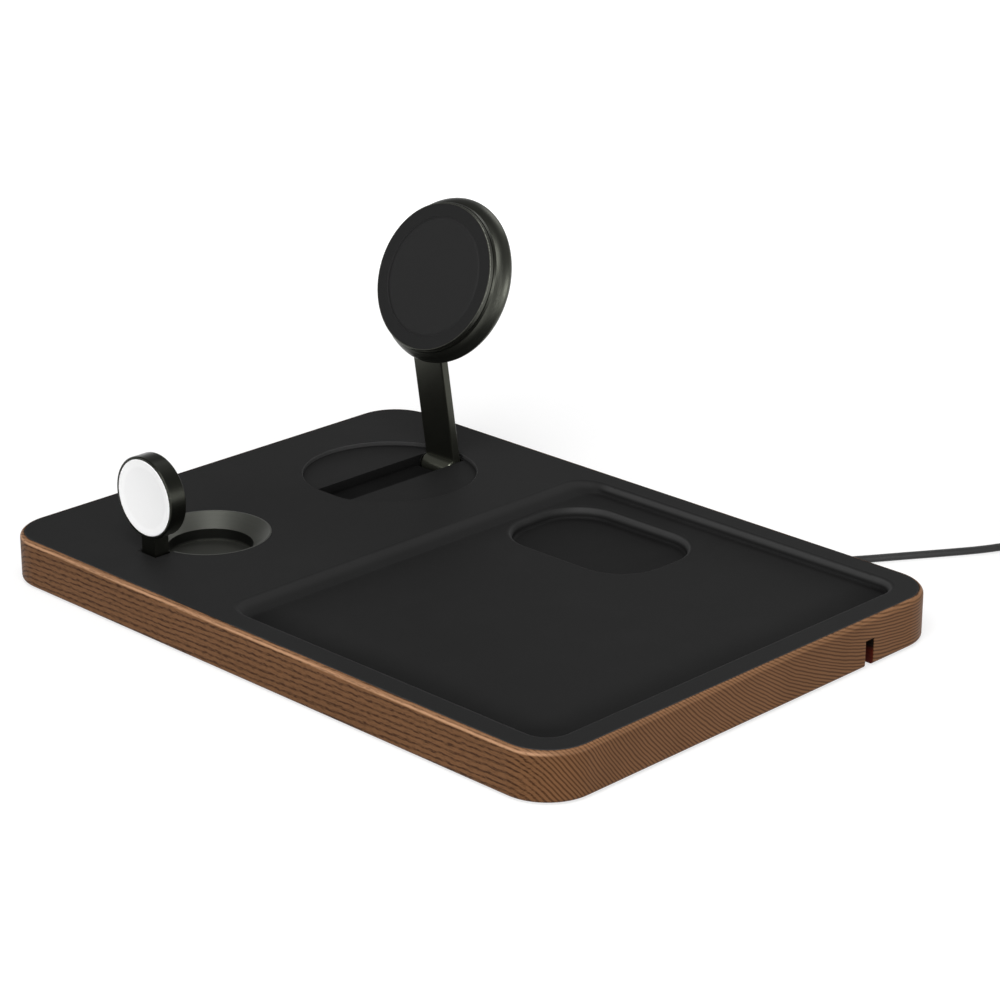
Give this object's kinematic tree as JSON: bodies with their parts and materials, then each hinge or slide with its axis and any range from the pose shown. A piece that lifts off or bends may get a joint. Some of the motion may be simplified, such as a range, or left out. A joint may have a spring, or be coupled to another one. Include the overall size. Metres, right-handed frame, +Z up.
{
  "type": "charging station organizer",
  "caption": "Low wooden desk tray with a soft black top, a catch-all recess, an earbud pad, a fold-up phone charging disc, a flip-up watch puck and a coiled supply cable.",
  "frame": {"origin": "on the floor under the middle of the wooden tray", "axes": "+X along the tray's long side towards the catch-all recess, +Y to the back, +Z up"},
  "size_m": [0.3084, 0.3159, 0.1144],
  "materials": {
    "wood": "oiled, satin",
    "soft_top": "soft-touch, matte",
    "charger_metal": "dark anodised, satin",
    "well_metal": "dark anodised, turned",
    "charge_pad": "matte",
    "white_face": "satin",
    "steel": "ground",
    "copper": "enamelled winding",
    "ferrite": "matte",
    "circuit_board": "solder mask",
    "black_plastic": "fine moulded grain",
    "foot_rubber": "matte",
    "cable_jacket": "satin"
  },
  "bodies": {
    "base": {"wood_base": "wood", "top_panel": "soft_top", "arm_cradle": "black_plastic", "cradle_screws": "steel", "arm_hinge_pin": "steel", "arm_washers": "steel", "watch_well": "well_metal", "watch_hinge_pin": "steel", "earbud_coil": "copper", "earbud_ferrite": "ferrite", "bottom_cover": "black_plastic", "cover_screws": "steel", "rubber_feet": "foot_rubber", "main_board": "circuit_board", "board_screws": "steel", "board_components": "black_plastic", "usb_socket": "steel", "plug_grip": "black_plastic", "plug_tip": "steel", "cable_lead": "cable_jacket", "cable_coil": "cable_jacket", "coil_tie": "cable_jacket", "cable_tail": "cable_jacket", "far_grip": "black_plastic", "far_tip": "steel"},
    "arm": {"phone_arm": "charger_metal", "disc_hinge_pin": "steel"},
    "disc": {"disc_shell": "charger_metal", "disc_rim": "charger_metal", "disc_pad": "charge_pad", "disc_coil": "copper", "disc_ferrite": "ferrite", "disc_board": "circuit_board", "disc_magnets": "steel", "disc_hinge_lug": "charger_metal"},
    "watch": {"watch_shell": "charger_metal", "watch_face": "white_face", "watch_coil": "copper", "watch_ferrite": "ferrite", "watch_magnet": "steel"}
  },
  "joints": [
    {"name": "arm_fold", "type": "hinge", "parent": "base", "child": "arm", "pos_m": [-0.0795, 0.0676, 0.013], "axis": [1, 0, 0], "range_deg": [0, 81.3]},
    {"name": "disc_fold", "type": "hinge", "parent": "arm", "child": "disc", "pos_m": [-0.0795, 0.06373, 0.06309], "axis": [1, 0, 0], "range_deg": [-147.8, 0]},
    {"name": "watch_flip", "type": "hinge", "parent": "base", "child": "watch", "pos_m": [-0.0795, -0.0712, 0.01395], "axis": [1, 0, 0], "range_deg": [-90, 0]}
  ],
  "couplings": [
    {"joint": "disc_fold", "follows": "arm_fold", "ratio": -1.8167}
  ]
}
